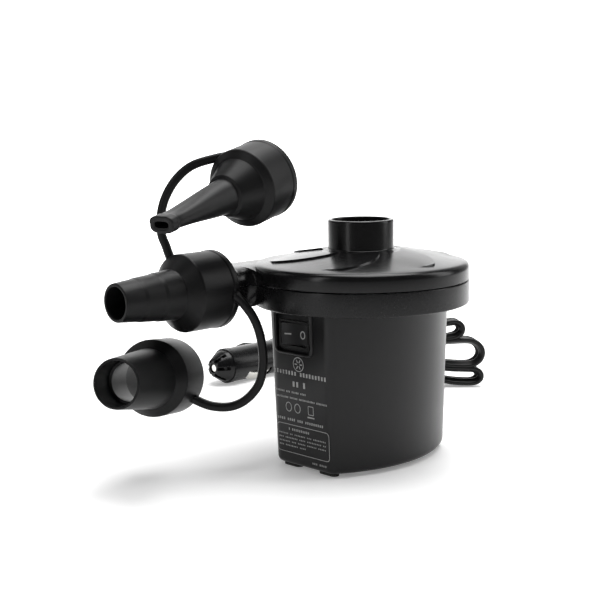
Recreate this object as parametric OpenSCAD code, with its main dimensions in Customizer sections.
// Electric air mattress pump for a 12 V car socket: a round fan head with an inlet collar
// on top and an outlet at the side, on a barrel-shaped motor body with a rocker switch.
// Three push-on nozzles hang together on two straps. The origin is on the motor axis, on
// the surface that the feet stand on, +Z is up and the switch faces -Y.

/* [Head] */
// Outside diameter of the fan head
head_d = 98; // [94:1:104]
// Height of the seam between the two head shells
seam_z = 83; // [82:0.5:84]
// Wall thickness of the head shells
head_wall = 2.5; // [2:0.1:3]
// Outside diameter of the inlet collar and of the outlet spigot
port_d = 30; // [29:0.5:31]
// Bore of the inlet collar
collar_bore_d = 26; // [24:0.5:27]
// Height of the top of the collar
collar_top_z = 110; // [108:0.5:114]
// Distance of the outlet from the motor axis, to the left
outlet_x = 37; // [36:0.5:37]
// Height of the middle of the outlet
outlet_z = 81; // [80:0.5:82]
// Number of swirl steps on the top of the head
swirl_count = 6; // [4:1:8]

/* [Body] */
// Depth of the body at its foot, front to back
body_depth = 77; // [75:1:80]
// Width of the body at its foot, across the bowed sides
body_width = 60; // [58:1:62]
// Width of the flat front and back faces
face_width = 34; // [32:1:36]
// How much larger the body is at its top
body_flare = 1.06; // [1:0.01:1.08]
// Wall thickness of the body
body_wall = 2.2; // [1.8:0.1:2.6]
// Height of the feet
foot_h = 1.6; // [1.2:0.1:2]

/* [Switch] */
// Sideways place of the switch on the front face
switch_x = -3.3; // [-4:0.1:4]
// Height of the middle of the switch
switch_z = 62; // [60:0.5:63]
// Width of the rocker
rocker_w = 15.6; // [14:0.1:16]
// Height of the rocker
rocker_h = 9.8; // [9:0.1:11]
// Tilt of the rocker to either side of its middle
rocker_tilt = 10; // [6:1:12]

/* [Fan and motor] */
// Outside diameter of the motor can
motor_d = 35.8; // [34:0.2:36]
// Diameter of the motor shaft
shaft_d = 3.17; // [3:0.01:3.3]
// Outside diameter of the fan wheel
fan_d = 74; // [68:1:76]
// Number of fan blades
blade_count = 9; // [7:1:12]
// Radial gap between the shaft and its bearings
shaft_gap = 0.03; // [0.02:0.01:0.08]

/* [Nozzles] */
// Outside diameter of a nozzle cup
cup_d = 34.4; // [33:0.2:36]
// Radial gap between a nozzle cup and the port it is pushed on
cup_gap = 0.06; // [0.02:0.01:0.1]
// Depth of a nozzle cup
cup_depth = 19; // [17:0.5:20]
// Thickness of a strap
strap_t = 4; // [3:0.2:5]
// Width of a strap
strap_w = 4.8; // [4:0.2:6]

/* [Lead] */
// Width of the flat twin lead
lead_w = 5; // [4.6:0.1:5.4]
// Thickness of the flat twin lead
lead_t = 2.6; // [2.2:0.1:2.8]
// Length of the folded hank, end to end
hank_length = 129; // [120:1:132]
// Height of the folded hank at its ends
hank_height = 40; // [36:1:42]
// Thickness of the folded hank
hank_depth = 10.8; // [10.4:0.1:12]
// Diameter of the car plug's barrel
plug_d = 20.2; // [20:0.1:20.6]

/* [Hidden] */

head_r = head_d / 2;
port_r = port_d / 2;
collar_bore_r = collar_bore_d / 2;
chamber_r = head_r - head_wall;
// half of the dark shadow line between the head shells
seam_gap = 0.2;
rim_z = seam_z + 8.5;
roof_z = seam_z + 13.4;
band_z = seam_z - 10.5;
floor_z = band_z + head_wall;
shoulder_r = 5.5;
// outlet: the neck ends and the round spigot starts here, then the spigot's own end
neck_end = 56;
spigot_end = 75;
spigot_bore_r = 12.5;
cup_bore_r = port_r + cup_gap;
cup_r = cup_d / 2;

// swirl steps: each runs from the collar out to the rim, turning back as it goes
swirl_in_r = 17;
swirl_out_r = 42;
swirl_turn = 42;
swirl_first = -119;

// screw places, as angles round the motor axis
cover_screw_r = 42.6;
cover_screw_angles = [-50, 50, 130, 186];
body_screw_r = 24.5;
body_screw_angles = [40, 140, 220, 320];
motor_screw_r = 12.5;
base_screw_x = 19;
base_screw_y = 21;

motor_r = motor_d / 2;
shaft_r = shaft_d / 2;
bush_bore_r = shaft_r + shaft_gap;
can_top = band_z;
can_bottom = 20.5;
magnet_bottom = 33;
magnet_top = 65;
brush_z = 28;

// nozzle places: the middle of each cup's mouth, then its turn and its lift
middle_at = [-outlet_x, -56.5, outlet_z];
upper_at = [-22.7, -37.9, 129.6];
upper_turn = 11.8;
upper_lift = -11.6;
lower_at = [-48.1, -74.5, 42.7];
lower_turn = 26;
lower_lift = 8.2;

// the two straps, from the root on the middle nozzle to the cup of the other nozzle
upper_strap = [[-46.5, -75, 101], [-48, -76.5, 106.5], [-48, -76.5, 114], [-46.5, -75, 122],
    [-43, -71.5, 130], [-38, -66, 136], [-30.8, -57.2, 139.2]];
lower_strap = [[-16.9, -56.4, 75.2], [-14.2, -54.2, 70.4], [-12.4, -52.5, 64], [-11.5, -51.5, 56],
    [-11.5, -51.5, 48], [-13, -53, 40], [-17, -57, 33.5], [-22, -62, 30.5], [-28, -68, 31],
    [-33.7, -73.4, 34.3]];
// square to the straps' planes: the straps hang in upright planes that face this way
strap_facing = [-0.676, 0.737, 0];

// the lead leaves the back of the body here
exit_x = -10;
exit_z = 14;
exit_y = 38;
grommet_length = 24;
// the folded hank stands on edge behind the body: its middle and its turn about Z
hank_at = [-90, 109];
hank_turn = 42.5;
hank_waist = 20;
// from the grommet along the ground to the hank
lead_route = [[-10, 62, 14], [-10, 67, 13.6], [-13, 72, 12], [-18, 78, 8], [-25, 84, 4],
    [-33, 88, 2], [-42, 90, 1.4], [-52, 90, 1.4], [-66, 86, 1.4], [-80, 80, 1.4],
    [-93, 73, 1.4], [-104, 66, 1.4], [-112, 63, 1.4], [-118, 66, 1.4], [-120, 73, 1.4],
    [-117, 79, 1.6], [-112, 85, 2]];
// from the hank round to the tail of the plug
tail_route = [[-119, 90, 2], [-126, 86, 1.6], [-133, 86, 1.4], [-137, 91, 1.4], [-136, 98, 1.4],
    [-131, 106, 1.4], [-128, 116, 1.4], [-127, 128, 1.4], [-128, 141, 1.4], [-131, 153, 1.8],
    [-137, 163, 3], [-146, 168, 6], [-154, 166, 9], [-159, 160, 10.4], [-160, 154, 10.6]];

// the plug lies on the ground behind the body, its nose to the front
plug_x = -160;
plug_r = plug_d / 2;
plug_z = 10.6;
plug_nose_y = 46;
// the side contacts: the right one is turned down by this angle, the left one up
contact_turn = 45;

// A flat outline with bowed sides: w is half the flat face, u half the depth, v half the width.
function barrel_side(w, u, v, steps) =
    let (bow_r = (u * u + (v - w) * (v - w)) / (2 * (v - w)))
    let (half_angle = asin(u / bow_r))
    [for (i = [0:steps]) let (a = half_angle * (2 * i / steps - 1))
        [v - bow_r + bow_r * cos(a), bow_r * sin(a)]];

// Rounded barrel outline of the body, grown or shrunk by grow.
module barrel_outline(grow) {
    side = barrel_side(face_width / 2, body_depth / 2, body_width / 2, 16);
    offset(r = grow + 6, $fn = 32)
    offset(delta = -6)
    polygon(concat(side, [for (p = side) -p]));
}

// A solid with the body's outline that flares from one height to another.
module barrel_solid(from_z, to_z, grow) {
    flare_per_mm = (body_flare - 1) / (band_z - foot_h);
    hull()
    for (z = [from_z, to_z])
        translate([0, 0, z == to_z ? z - 0.01 : z])
        linear_extrude(0.01)
        scale(1 + flare_per_mm * (z - foot_h))
        barrel_outline(grow);
}

function quarter(centre, r, from, to) =
    [for (i = [0:6]) let (a = from + (to - from) * i / 6) centre + r * [cos(a), sin(a)]];

// Catmull-Rom curve through points, cut into parts pieces between each pair.
function curve_point(a, b, c, d, t) =
    0.5 * (2 * b + (c - a) * t + (2 * a - 5 * b + 4 * c - d) * t * t
        + (3 * b - a - 3 * c + d) * t * t * t);
function smooth(points, parts) =
    let (last = len(points) - 1)
    concat([for (i = [0:last - 1]) for (k = [0:parts - 1])
        curve_point(points[max(i - 1, 0)], points[i], points[i + 1], points[min(i + 2, last)], k / parts)],
        [points[last]]);
function unit(v) = v / norm(v);
function heading(path, i) = unit(path[min(i + 1, len(path) - 1)] - path[max(i - 1, 0)]);
function ring_point(path, i, square_to, half_w, half_t, angle) =
    let (ahead = heading(path, i))
    let (side = unit(cross(ahead, square_to)))
    path[i] + half_w * cos(angle) * side + half_t * sin(angle) * cross(side, ahead);

// A closed tube along a path, with an oval section: half_w lies level with square_to's plane.
module sweep(path, square_to, half_w, half_t, sides) {
    last = len(path) - 1;
    rings = [for (i = [0:last]) for (j = [0:sides - 1])
        ring_point(path, i, square_to, half_w, half_t, 360 * (j + 0.5) / sides)];
    walls = [for (i = [0:last - 1]) for (j = [0:sides - 1])
        [i * sides + j, i * sides + (j + 1) % sides,
         (i + 1) * sides + (j + 1) % sides, (i + 1) * sides + j]];
    start_cap = [for (j = [sides - 1:-1:0]) j];
    end_cap = [for (j = [0:sides - 1]) last * sides + j];
    polyhedron(rings, concat([start_cap], walls, [end_cap]));
}

// Points children, built along +Z, from a place towards -Y, turned to the right and lifted.
module aim(place, turn, lift) {
    translate(place) rotate([0, 0, turn]) rotate([90 - lift, 0, 0]) children();
}

module polar(r, angles) {
    for (a = angles) rotate([0, 0, a]) translate([r, 0, 0]) children();
}

// A pan-head screw, head up, its head's underside at z = 0.
module screw(shank_r, length, head_r, head_h) {
    translate([0, 0, -length]) cylinder(h = length + 0.2, r = shank_r, $fn = 24);
    difference() {
        cylinder(h = head_h, r = head_r, $fn = 32);
        for (a = [0, 90])
            rotate([0, 0, a]) translate([-head_r * 0.6, -0.35, head_h * 0.5])
            cube([head_r * 1.2, 0.7, head_h]);
    }
}

// ---------- head ----------

// One feather-shaped rise on the sloping top, from the collar to the rim.
module swirl_rise(angle) {
    edge = [for (i = [0:8]) let (t = i / 8) let (a = angle + swirl_turn * (1 - t))
        (swirl_in_r - 2 + (swirl_out_r - swirl_in_r + 5) * t) * [cos(a), sin(a)]];
    back = [for (i = [8:-1:0]) let (t = i / 8) let (a = angle + swirl_turn * (1 - t) - 3 - 11 * t)
        (swirl_in_r - 2 + (swirl_out_r - swirl_in_r + 5) * t) * [cos(a), sin(a)]];
    linear_extrude(rim_z + 20) polygon(concat(edge, back));
}

module outlet_tube(r, from, to) {
    translate([-outlet_x, -from, outlet_z]) rotate([90, 0, 0]) cylinder(h = to - from, r = r, $fn = 96);
}

// The duct inside the head that leads from the fan chamber into the outlet, then on through
// the flattened neck to the round spigot.
module outlet_duct() {
    translate([-outlet_x - 9.2, -46, floor_z]) cube([21, 34, rim_z - 2.9 - floor_z]);
    intersection() {
        outlet_tube(spigot_bore_r, 44, neck_end + 3);
        translate([-outlet_x - 20, -neck_end - 3, floor_z]) cube([40, neck_end, rim_z - 3.4 - floor_z]);
    }
    outlet_tube(spigot_bore_r, neck_end + 2, spigot_end + 1);
}

module head_cover() color("#1c1c1e") {
    rim_arc = quarter([head_r - shoulder_r, rim_z - shoulder_r], shoulder_r, 0, 80);
    lip_arc = quarter([port_r - 1, collar_top_z - 1], 1, 0, 90);
    outer = concat([[head_r, seam_z + seam_gap]], rim_arc, [[port_r + 0.8, roof_z], [port_r, roof_z + 0.9]], lip_arc);
    inner = [[collar_bore_r, collar_top_z - 0.6], [collar_bore_r, roof_z - 2.6],
        [chamber_r - 3, rim_z - 2.9], [chamber_r, rim_z - 5.4], [chamber_r, seam_z + seam_gap]];
    difference() {
        union() {
            rotate_extrude($fn = 160) polygon(concat(outer, [[collar_bore_r + 0.6, collar_top_z]], inner));
            // swirl steps stand proud of the cone
            intersection() {
                union() {
                    for (i = [0:swirl_count - 1]) swirl_rise(swirl_first + i * 360 / swirl_count);
                }
                rotate_extrude($fn = 160) polygon([[swirl_in_r, roof_z - 1.2], [swirl_in_r, roof_z + 0.55],
                    [swirl_out_r, rim_z + 1], [swirl_out_r, rim_z - 1]]);
            }
            // upper half of the outlet neck, no higher than the rim
            intersection() {
                outlet_tube(port_r, 20, neck_end);
                translate([-outlet_x - 20, -neck_end, seam_z + seam_gap])
                    cube([40, neck_end, rim_z - 1 - seam_z - seam_gap]);
            }
            polar(cover_screw_r, cover_screw_angles)
                translate([0, 0, seam_z + seam_gap]) cylinder(h = 5, r = 3, $fn = 32);
        }
        outlet_duct();
        // clears the fan chamber of the neck's root
        translate([0, 0, seam_z]) cylinder(h = rim_z - 3 - seam_z, r = 39, $fn = 96);
        polar(cover_screw_r, cover_screw_angles)
            translate([0, 0, seam_z - 1]) cylinder(h = 5, r = 1.2, $fn = 24);
    }
}

module head_base() color("#1a1a1c") {
    wall = [[head_r, seam_z - seam_gap], [head_r, band_z + 0.8], [head_r - 0.8, band_z], [6.8, band_z],
        [6.8, floor_z], [chamber_r, floor_z], [chamber_r, seam_z - seam_gap]];
    difference() {
        union() {
            rotate_extrude($fn = 160) polygon(wall);
            // lower half of the outlet neck, level with the band, then the whole round spigot
            intersection() {
                outlet_tube(port_r, 30, neck_end);
                translate([-outlet_x - 20, -neck_end, band_z]) cube([40, neck_end, seam_z - seam_gap - band_z]);
            }
            outlet_tube(port_r, neck_end, spigot_end);
            polar(cover_screw_r, cover_screw_angles)
                translate([0, 0, floor_z - 0.5]) cylinder(h = seam_z - seam_gap - floor_z + 0.5, r = 3, $fn = 32);
        }
        outlet_duct();
        polar(cover_screw_r, cover_screw_angles)
            translate([0, 0, band_z - 1]) cylinder(h = 12, r = 1.6, $fn = 24);
        polar(cover_screw_r, cover_screw_angles)
            translate([0, 0, band_z - 1]) cylinder(h = 3, r = 3, $fn = 32);
        polar(body_screw_r, body_screw_angles)
            translate([0, 0, band_z - 1]) cylinder(h = 6, r = 1.2, $fn = 24);
        polar(motor_screw_r, [0, 180])
            translate([0, 0, band_z - 1]) cylinder(h = 5, r = 1.6, $fn = 24);
        // a clear way for the fan
        translate([0, 0, floor_z]) cylinder(h = 20, r = 39, $fn = 96);
    }
    polar(body_screw_r, body_screw_angles)
        translate([0, 0, floor_z]) difference() {
            cylinder(h = 3.5, r = 3, $fn = 32);
            translate([0, 0, -1]) cylinder(h = 4, r = 1.2, $fn = 24);
        }
}

module inlet_grille() color("#161618") {
    grille_z = roof_z - 1;
    translate([0, 0, grille_z]) {
        difference() {
            cylinder(h = 2.4, r = collar_bore_r, $fn = 96);
            translate([0, 0, -1]) cylinder(h = 5, r = collar_bore_r - 1.2, $fn = 96);
        }
        difference() {
            cylinder(h = 1.8, r = 6.6, $fn = 64);
            translate([0, 0, -1]) cylinder(h = 4, r = 5.4, $fn = 64);
        }
        for (a = [0:45:135])
            rotate([0, 0, a]) translate([-collar_bore_r + 0.6, -0.6, 0]) cube([2 * collar_bore_r - 1.2, 1.2, 1.8]);
    }
}

module head_screws() color("#8d9196") {
    polar(cover_screw_r, cover_screw_angles)
        translate([0, 0, band_z + 2]) rotate([180, 0, 0]) screw(1.2, 11, 2.6, 1.6);
}

// ---------- body ----------

// Centre of the front face at the height of the switch.
face_y = -(body_depth / 2) * (1 + (body_flare - 1) * (switch_z - foot_h) / (band_z - foot_h));
frame_w = 23.4;
frame_bottom = 52.8;

// Raised frame round the switch, open at the top under the head.
module switch_frame() {
    frame_h = band_z - frame_bottom;
    translate([switch_x - frame_w / 2, face_y - 0.9, frame_bottom]) difference() {
        cube([frame_w, 3, frame_h]);
        translate([1.2, -1, 1.2]) cube([frame_w - 2.4, 5, frame_h]);
    }
}

module body_shell() color("#202022") {
    difference() {
        union() {
            barrel_solid(foot_h + 3.5, band_z, 0);
            hull() {
                translate([0, 0, foot_h]) linear_extrude(0.01) barrel_outline(-2.6);
                translate([0, 0, foot_h + 1]) linear_extrude(0.01) barrel_outline(-0.9);
                translate([0, 0, foot_h + 3.5]) linear_extrude(0.01) scale(1.003) barrel_outline(0);
            }
            switch_frame();
        }
        // hollow inside, with a top plate under the head
        barrel_solid(foot_h + 2.5, band_z - 2.4, -body_wall);
        // seat of the base plate, closed in by a thicker lip
        translate([0, 0, foot_h - 1]) linear_extrude(4) barrel_outline(-3.4);
        // the motor passes through the top plate
        translate([0, 0, band_z - 5]) cylinder(h = 10, r = motor_r + 0.3, $fn = 96);
        polar(body_screw_r, body_screw_angles)
            translate([0, 0, band_z - 5]) cylinder(h = 10, r = 1.7, $fn = 24);
        // shallow recess and opening of the switch
        translate([switch_x - 10, face_y - 2, frame_bottom + 1.6]) cube([20, 2.9, band_z - frame_bottom - 1.6]);
        translate([switch_x - 8.7, face_y - 2, switch_z - 5.8]) cube([17.4, 12, 11.6]);
        // hole of the lead
        translate([exit_x, exit_y - 12, exit_z]) rotate([-90, 0, 0]) cylinder(h = 20, r = 4.2, $fn = 48);
    }
    // screw posts of the base plate, joined to the side walls
    for (sx = [-1, 1]) for (sy = [-1, 1])
        translate([sx * base_screw_x, sy * base_screw_y, foot_h + 2.6]) difference() {
            union() {
                cylinder(h = 16, r = 3.4, $fn = 32);
                translate([sx > 0 ? 0 : -6, -1.2, 0]) cube([6, 2.4, 16]);
            }
            translate([0, 0, -1]) cylinder(h = 14, r = 1.2, $fn = 24);
        }
}

module base_plate() color("#1b1b1d") {
    difference() {
        translate([0, 0, foot_h]) linear_extrude(2.4) barrel_outline(-3.6);
        for (sx = [-1, 1]) for (sy = [-1, 1])
            translate([sx * base_screw_x, sy * base_screw_y, foot_h - 1]) cylinder(h = 6, r = 1.6, $fn = 24);
        for (sx = [-1, 1]) for (sy = [-1, 1])
            translate([sx * base_screw_x, sy * base_screw_y, foot_h - 1]) cylinder(h = 2, r = 2.9, $fn = 32);
        // two rows of air slots that cool the motor
        for (i = [-3:3]) for (y = [-16, 6]) translate([i * 4 - 1, y, foot_h - 1]) cube([2, 10, 5]);
    }
    // pad in the middle, level with the feet
    cylinder(h = foot_h + 1, r = 3.5, $fn = 48);
}

module feet() color("#2a2a2c") {
    for (sx = [-1, 1]) for (sy = [-1, 1])
        translate([sx * 11, sy * 33.6, 0]) hull()
        for (dx = [-3, 3]) translate([dx, 0, 0]) {
            cylinder(h = 0.4, r = 1.6, $fn = 24);
            cylinder(h = foot_h, r = 2.2, $fn = 24);
        }
}

module base_screws() color("#8d9196") {
    for (sx = [-1, 1]) for (sy = [-1, 1])
        translate([sx * base_screw_x, sy * base_screw_y, foot_h + 1])
        rotate([180, 0, 0]) screw(1.2, 11, 2.6, 0.9);
}

module body_screws() color("#8d9196") {
    polar(body_screw_r, body_screw_angles)
        translate([0, 0, band_z - 2.4]) rotate([180, 0, 0]) screw(1.2, 6, 2.6, 1.6);
}

// ---------- motor ----------

module motor_can() color("#a9adb0") {
    difference() {
        union() {
            translate([0, 0, can_bottom]) cylinder(h = can_top - can_bottom, r = motor_r, $fn = 96);
            translate([0, 0, can_top - 0.5]) cylinder(h = 3, r = 6.4, $fn = 64);
        }
        translate([0, 0, can_bottom - 1]) cylinder(h = can_top - can_bottom - 0.5, r = motor_r - 1.2, $fn = 96);
        // seat of the front bearing
        translate([0, 0, can_top - 5]) cylinder(h = 10, r = 4, $fn = 48);
        polar(motor_screw_r, [0, 180])
            translate([0, 0, can_top - 5]) cylinder(h = 10, r = 1.4, $fn = 24);
    }
}

module motor_magnets() color("#3c3c40") {
    for (side = [0, 180])
        rotate([0, 0, side + 20]) translate([0, 0, magnet_bottom])
        rotate_extrude(angle = 140, $fn = 96) translate([13.7, 0]) square([2.9, magnet_top - magnet_bottom]);
}

module motor_end_cap() color("#d8d4c8") {
    difference() {
        union() {
            translate([0, 0, can_bottom - 2.6]) cylinder(h = 2.6, r = motor_r, $fn = 96);
            translate([0, 0, can_bottom - 0.5]) cylinder(h = 4, r = motor_r - 1.2, $fn = 96);
            translate([0, 0, can_bottom - 5.6]) cylinder(h = 4, r = 5.6, $fn = 64);
        }
        translate([0, 0, can_bottom - 0.4]) cylinder(h = 5, r = motor_r - 3, $fn = 96);
        // seat of the rear bearing
        translate([0, 0, can_bottom - 4]) cylinder(h = 8, r = 3.5, $fn = 48);
        translate([0, 0, can_bottom - 6]) cylinder(h = 4, r = 2, $fn = 32);
        // slots of the terminals
        for (s = [-1, 1]) translate([s * 10 - 0.4, -1.6, can_bottom - 4]) cube([0.8, 3.2, 6]);
    }
    // posts that carry the brushes
    for (s = [-1, 1]) translate([s * 12.6 - 1.4, -2.6, can_bottom - 0.4])
        cube([2.8, 5.2, brush_z - can_bottom - 1.6]);
}

module motor_terminals() color("#c9a25a") {
    for (s = [-1, 1]) translate([s * 10 - 0.4, -1.6, 10.5]) difference() {
        cube([0.8, 3.2, can_bottom - 10]);
        translate([-1, 1.6, 2]) rotate([0, 90, 0]) cylinder(h = 3, r = 0.6, $fn = 16);
    }
}

module motor_brushes() color("#4a4642") {
    for (s = [-1, 1]) translate([s * 9.3 - 4.4, -2, brush_z - 2]) cube([8.8, 4, 4]);
}

module front_bearing() color("#b0793a") {
    translate([0, 0, can_top - 3]) difference() {
        cylinder(h = 5, r = 4, $fn = 48);
        translate([0, 0, -1]) cylinder(h = 7, r = bush_bore_r, $fn = 48);
    }
}

module rear_bearing() color("#b0793a") {
    translate([0, 0, can_bottom - 3.4]) difference() {
        cylinder(h = 4, r = 3.5, $fn = 48);
        translate([0, 0, -1]) cylinder(h = 7, r = bush_bore_r, $fn = 48);
    }
}

module motor_screws() color("#8d9196") {
    polar(motor_screw_r, [0, 180]) translate([0, 0, floor_z]) screw(1.4, 4, 2.6, 1.8);
}

module motor_shaft() color("#c4c8cc") {
    translate([0, 0, can_bottom - 3.8]) cylinder(h = rim_z - 3.6 - can_bottom + 3.8, r = shaft_r, $fn = 48);
}

module armature_core() color("#7d7f82") {
    core_bottom = 36;
    core_h = 26;
    translate([0, 0, core_bottom]) difference() {
        cylinder(h = core_h, r = 13.1, $fn = 96);
        translate([0, 0, -1]) cylinder(h = core_h + 2, r = shaft_r, $fn = 48);
        for (a = [0:72:288]) rotate([0, 0, a]) {
            translate([8.4, 0, -1]) cylinder(h = core_h + 2, r = 2.7, $fn = 32);
            translate([8.4, -0.8, -1]) cube([6, 1.6, core_h + 2]);
        }
    }
}

module armature_windings() color("#b5652a") {
    core_bottom = 36;
    core_h = 26;
    for (a = [0:72:288])
        rotate([0, 0, a]) translate([8.4, 0, core_bottom]) cylinder(h = core_h, r = 2.7, $fn = 32);
    // end turns above and below the core
    for (z = [core_bottom - 3.6, core_bottom + core_h])
        translate([0, 0, z]) difference() {
            cylinder(h = 3.6, r = 11.6, $fn = 64);
            translate([0, 0, -1]) cylinder(h = 6, r = 4.6, $fn = 48);
        }
}

module commutator() color("#c07a3c") {
    difference() {
        translate([0, 0, brush_z - 3.4]) cylinder(h = 7.8, r = 4.5, $fn = 64);
        translate([0, 0, brush_z - 5]) cylinder(h = 12, r = shaft_r, $fn = 48);
        for (a = [36:72:324]) rotate([0, 0, a])
            translate([3.6, -0.25, brush_z - 4]) cube([2, 0.5, 7]);
    }
}

module fan_wheel() color("#e6e6e2") {
    disc_z = floor_z + 4.6;
    fan_r = fan_d / 2;
    blade_h = 7;
    difference() {
        union() {
            translate([0, 0, disc_z]) cylinder(h = 1.4, r = fan_r, $fn = 96);
            translate([0, 0, disc_z - 1.6]) cylinder(h = 9, r = 6, $fn = 64);
            // backward-leaning curved blades
            for (i = [0:blade_count - 1]) rotate([0, 0, i * 360 / blade_count])
                translate([22, 0, disc_z + 1]) intersection() {
                    difference() {
                        translate([0, -14, 0]) cylinder(h = blade_h, r = 20, $fn = 96);
                        translate([0, -14, -1]) cylinder(h = blade_h + 2, r = 18.8, $fn = 96);
                    }
                    translate([-9, 0, 0]) cube([22.6, 8, blade_h]);
                }
        }
        translate([0, 0, disc_z - 3]) cylinder(h = 14, r = shaft_r, $fn = 48);
    }
}

// ---------- switch ----------

pivot_y = face_y + 3.4;

module switch_housing() color("#141415") {
    translate([switch_x, 0, switch_z]) difference() {
        union() {
            translate([-9.2, face_y + 0.9 - 0.7, -6.2]) cube([18.4, 0.7, 12.4]);
            translate([-8.6, face_y + 0.9, -5.7]) cube([17.2, 12, 11.4]);
        }
        // well of the rocker
        translate([-8.05, face_y - 1, -5.15]) cube([16.1, 9.4, 10.3]);
        // bearing hole of the rocker's pins
        translate([0, pivot_y, -8]) cylinder(h = 16, r = 1.25, $fn = 32);
    }
}

module switch_rocker() color("#3a3a3c") {
    translate([switch_x, pivot_y, switch_z]) rotate([0, 0, rocker_tilt]) {
        intersection() {
            translate([0, 0, -rocker_h / 2]) cylinder(h = rocker_h, r = rocker_w / 2, $fn = 96);
            difference() {
                translate([-rocker_w / 2, -4.1, -rocker_h / 2]) cube([rocker_w, 6.2, rocker_h]);
                // dished face
                translate([0, -29.6, -rocker_h]) cylinder(h = 2 * rocker_h, r = 27, $fn = 160);
            }
        }
        translate([0, 0, -5.6]) cylinder(h = 11.2, r = 1.2, $fn = 32);
    }
}

module switch_terminals() color("#c9a25a") {
    for (s = [-1, 1]) translate([switch_x + s * 4 - 2.4, face_y + 10, switch_z - 0.4])
        cube([4.8, 8.4, 0.8]);
}

// ---------- nozzles ----------

// A cup open at z = 0, whose shoulder narrows to a tube that the children add.
module cup_outside(shoulder_z, neck_r, neck_z) {
    rotate_extrude($fn = 96) polygon([[0, 0], [cup_r + 0.5, 0], [cup_r + 0.5, 2.6], [cup_r, 3.2],
        [cup_r, shoulder_z], [cup_r - 1.2, shoulder_z + 1.2], [neck_r, neck_z], [0, neck_z]]);
}

module nozzle_middle() color("#1e1e20") {
    aim(middle_at, 0, 0) difference() {
        union() {
            cup_outside(cup_depth - 0.5, 11.6, 24.5);
            translate([0, 0, 24]) cylinder(h = 10, r1 = 11, r2 = 10.4, $fn = 96);
            translate([0, 0, 34]) cylinder(h = 10, r1 = 10, r2 = 9.4, $fn = 96);
            translate([0, 0, 44]) cylinder(h = 10, r1 = 9, r2 = 8.3, $fn = 96);
        }
        translate([0, 0, -1]) cylinder(h = cup_depth + 1, r = cup_bore_r, $fn = 96);
        translate([0, 0, cup_depth - 0.01]) cylinder(h = 4, r1 = 12.4, r2 = 9, $fn = 96);
        translate([0, 0, 22]) cylinder(h = 33, r1 = 9, r2 = 6.8, $fn = 96);
    }
    // roots of the two straps
    translate([-45.6, -74.3, 97.2]) sphere(r = 3.1, $fn = 48);
    translate([-18.9, -58.6, 79.2]) sphere(r = 3.1, $fn = 48);
}

module nozzle_upper() color("#1e1e20") {
    aim(upper_at, upper_turn, upper_lift) difference() {
        union() {
            cup_outside(17, 14.2, 19.5);
            translate([0, 0, 19]) cylinder(h = 11, r1 = 13.6, r2 = 9, $fn = 96);
            // thin tube that flattens towards its tip
            hull() {
                translate([0, 0, 29]) cylinder(h = 1, r = 7.4, $fn = 32);
                translate([0, 0, 72]) linear_extrude(1) scale([1, 0.62]) circle(r = 5.6, $fn = 32);
            }
        }
        translate([0, 0, -1]) cylinder(h = 18, r = cup_bore_r, $fn = 96);
        translate([0, 0, 16.9]) cylinder(h = 11, r1 = 12.4, r2 = 5.4, $fn = 96);
        hull() {
            translate([0, 0, 27]) cylinder(h = 1, r = 5, $fn = 32);
            translate([0, 0, 73]) linear_extrude(1) scale([1, 0.5]) circle(r = 3.6, $fn = 32);
        }
    }
}

module nozzle_lower() color("#1e1e20") {
    aim(lower_at, lower_turn, lower_lift) difference() {
        union() {
            cup_outside(17, 13.4, 21);
            translate([0, 0, 20]) cylinder(h = 11, r1 = 12.6, r2 = 11.8, $fn = 96);
            translate([0, 0, 31]) cylinder(h = 10, r1 = 11.4, r2 = 10.8, $fn = 96);
            translate([0, 0, 41]) cylinder(h = 10, r1 = 10.4, r2 = 10, $fn = 96);
        }
        translate([0, 0, -1]) cylinder(h = 18, r = cup_bore_r, $fn = 96);
        translate([0, 0, 16.9]) cylinder(h = 5, r1 = 13, r2 = 10.6, $fn = 96);
        translate([0, 0, 21]) cylinder(h = 24, r1 = 10.6, r2 = 8, $fn = 96);
        translate([0, 0, 44]) cylinder(h = 8, r1 = 8.6, r2 = 9, $fn = 96);
    }
}

module strap_upper() color("#202022")
    sweep(smooth(upper_strap, 2), strap_facing, strap_t / 2, strap_w / 2, 12);

module strap_lower() color("#202022")
    sweep(smooth(lower_strap, 2), strap_facing, strap_t / 2, strap_w / 2, 12);

// ---------- wiring inside the body ----------

module inner_lead_switch() color("#b03030") {
    route = [[-7.3, -22.6, 62], [-14, -19.6, 57], [-19, -13, 46], [-20.6, -4, 32], [-19, 4, 18],
        [-14, 5, 10.4], [-10, 2.2, 9.4]];
    sweep(smooth(route, 3), [0.3, 1, 0.1], 0.8, 0.8, 8);
}

module inner_lead_motor() color("#202020") {
    route = [[10, 2.6, 9.6], [9, 9, 8.4], [2, 15, 8.2], [-5, 19, 10.4], [-8.8, 24, 13]];
    sweep(smooth(route, 3), [0, 0, 1], 0.8, 0.8, 8);
}

module lead_clamp() color("#d0d0cc") {
    translate([exit_x, 26.2, exit_z]) rotate([-90, 0, 0]) difference() {
        cylinder(h = 4, r = 5.4, $fn = 32);
        translate([-lead_w / 2, -lead_t / 2, -1]) cube([lead_w, lead_t, 6]);
    }
}

// Tapered sleeve that keeps the lead from kinking, with a groove that the body wall sits in.
module lead_grommet() color("#19191a") {
    translate([exit_x, exit_y, exit_z]) rotate([-90, 0, 0]) difference() {
        rotate_extrude($fn = 48) polygon([[0, -6], [5.4, -6], [5.4, -4.2], [4.1, -4.2], [4.1, 1.2],
            [6, 1.2], [6, 3.2], [4.6, 4.4], [3.4, grommet_length], [0, grommet_length]]);
        translate([-lead_w / 2, -lead_t / 2, -7]) cube([lead_w, lead_t, 8]);
    }
}

// ---------- outside lead ----------

module cord_lead() color("#19191a") sweep(lead_route, [0, 0, 1], lead_w / 2, lead_t / 2, 8);

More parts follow.
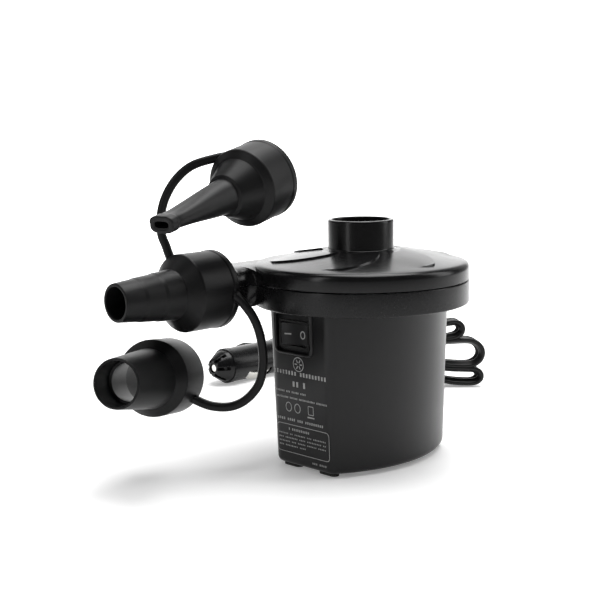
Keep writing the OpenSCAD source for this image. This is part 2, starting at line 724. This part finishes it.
module cord_tail() color("#19191a") sweep(tail_route, [0, 0, 1], lead_w / 2, lead_t / 2, 8);

// Stands children, drawn lying in the hank's own plane, upright behind the body.
module in_hank() {
    translate([hank_at[0], hank_at[1], hank_height / 2]) rotate([0, 0, hank_turn]) rotate([90, 0, 0])
        translate([0, 0, -hank_depth / 2]) children();
}

module cord_hank() color("#19191a") in_hank() {
    end_r = 8;
    end_x = hank_length / 2 - end_r;
    end_y = hank_height / 2 - end_r;
    linear_extrude(hank_depth) {
        for (s = [-1, 1]) hull() {
            for (t = [-1, 1]) translate([s * end_x, t * end_y]) circle(r = end_r, $fn = 32);
            translate([s > 0 ? 2 : -3, -hank_waist / 2]) square([1, hank_waist]);
        }
        // straight part under the tie
        translate([-2.5, -hank_waist / 2]) square([5, hank_waist]);
    }
}

module cord_tie() color("#101011") in_hank() {
    tie_wall = 1.1;
    translate([-2, 0, 0]) difference() {
        translate([0, -hank_waist / 2 - tie_wall, -tie_wall])
            cube([4, hank_waist + 2 * tie_wall, hank_depth + 2 * tie_wall]);
        translate([-1, -hank_waist / 2, 0]) cube([6, hank_waist, hank_depth]);
    }
}

// ---------- car plug ----------

barrel_y = plug_nose_y + 12;
grip_y = plug_nose_y + 50;
strain_y = plug_nose_y + 78;
plug_tail_y = plug_nose_y + 108;
contact_y = barrel_y + 9;

// Turns children, built along +Z, to lie along the plug, nose at -Y.
module along_plug(y) {
    translate([plug_x, y, plug_z]) rotate([-90, 0, 0]) children();
}

// The place of the side contacts, on the plug's axis and turned about it.
module at_contacts() {
    translate([plug_x, contact_y, plug_z]) rotate([0, contact_turn, 0]) children();
}

module plug_barrel() color("#1d1d1f") {
    difference() {
        along_plug(barrel_y) cylinder(h = grip_y - barrel_y + 6, r = plug_r, $fn = 96);
        along_plug(barrel_y - 1) cylinder(h = grip_y - barrel_y + 3, r = plug_r - 2, $fn = 96);
        // windows of the side contacts
        for (s = [-1, 1])
            at_contacts() translate([s * plug_r - 3, -1, -3.6]) cube([6, 19, 7.2]);
    }
}

module plug_knurled_ring() color("#2b2b2d") {
    along_plug(barrel_y - 3) difference() {
        cylinder(h = 3, r = plug_r + 0.2, $fn = 96);
        translate([0, 0, -1]) cylinder(h = 5, r = 7.2, $fn = 64);
        for (a = [0:12:348]) rotate([0, 0, a]) translate([plug_r + 0.1, -0.4, -1]) cube([1, 0.8, 5]);
    }
}

// Screw cap of the nose, with notches round its mouth for fingers or a coin.
module plug_nose_cap() color("#1a1a1b") {
    cap_h = barrel_y - 3 - plug_nose_y;
    along_plug(plug_nose_y) difference() {
        rotate_extrude($fn = 96) polygon([[2.7, 0], [4.4, 0], [5.2, 0.6], [8.8, 6.6], [9.5, cap_h],
            [7.1, cap_h], [7.1, cap_h + 4], [5.6, cap_h + 4], [5.6, 4], [2.7, 4]]);
        // six slots that split the cone into petals, shallower past the pin's seat
        for (a = [0:60:300]) rotate([0, 0, a]) {
            translate([3.6, -1, -1]) cube([7, 2, 4.6]);
            translate([6.5, -1, 3]) cube([7, 2, 3.5]);
        }
    }
}

module plug_centre_pin() color("#d9dcdf") {
    along_plug(plug_nose_y + 0.8) {
        cylinder(h = 5, r = 2.3, $fn = 48);
        translate([0, 0, 3.7]) cylinder(h = 2, r = 4.9, $fn = 48);
    }
}

module plug_fuse() color("#dfe6ea") {
    along_plug(plug_nose_y + 6.5) cylinder(h = 25, r = 3, $fn = 48);
}

// Coil spring behind the fuse, drawn pressed, as the sleeve that the coil fills.
module plug_pin_spring() color("#9a9da0") {
    along_plug(plug_nose_y + 34.8) difference() {
        cylinder(h = 17.2, r = 3, $fn = 48);
        translate([0, 0, -1]) cylinder(h = 20, r = 2.2, $fn = 48);
    }
}

// Spring leaf that earths the plug; side is 1 for the right, -1 for the left.
module plug_contact(side) color("#d9dcdf") {
    at_contacts() translate([side * (plug_r - 0.9), 0, -3.2]) {
        linear_extrude(6.4) scale([side, 1])
        polygon([[0, 0], [1.3, 2.5], [2.3, 8.5], [1.3, 14.5], [0, 17], [-0.8, 17], [-0.8, 0]]);
    }
}

module plug_contact_left() plug_contact(-1);

module plug_contact_right() plug_contact(1);

module plug_grip() color("#1b1b1c") {
    along_plug(grip_y) difference() {
        rotate_extrude($fn = 96) polygon([[0, 6], [plug_r, 6], [plug_r, 0], [plug_r + 0.4, 0],
            [plug_r + 0.4, 8], [9.6, 20], [7.4, strain_y - grip_y], [0, strain_y - grip_y]]);
        for (a = [0:30:330]) rotate([0, 0, a]) translate([plug_r - 0.1, -0.8, 2]) cube([2, 1.6, 7.3]);
    }
}

module plug_strain_relief() color("#19191a") {
    along_plug(strain_y) rotate_extrude($fn = 48) polygon([[0, 0], [5.6, 0], [5.6, 4], [4.6, 5], [4.6, 8],
        [5.1, 8.6], [5.1, 11], [4.1, 12], [4.1, 15], [4.6, 15.6], [4.6, 18], [3.6, 19],
        [3.1, plug_tail_y - strain_y], [0, plug_tail_y - strain_y]]);
}

head_cover();
head_base();
inlet_grille();
head_screws();
body_shell();
base_plate();
feet();
base_screws();
body_screws();
motor_can();
motor_magnets();
motor_end_cap();
motor_terminals();
motor_brushes();
front_bearing();
rear_bearing();
motor_screws();
motor_shaft();
armature_core();
armature_windings();
commutator();
fan_wheel();
switch_housing();
switch_rocker();
switch_terminals();
nozzle_middle();
nozzle_upper();
nozzle_lower();
strap_upper();
strap_lower();
inner_lead_switch();
inner_lead_motor();
lead_clamp();
lead_grommet();
cord_lead();
cord_hank();
cord_tie();
cord_tail();
plug_barrel();
plug_nose_cap();
plug_centre_pin();
plug_pin_spring();
plug_fuse();
plug_contact_left();
plug_contact_right();
plug_knurled_ring();
plug_grip();
plug_strain_relief();
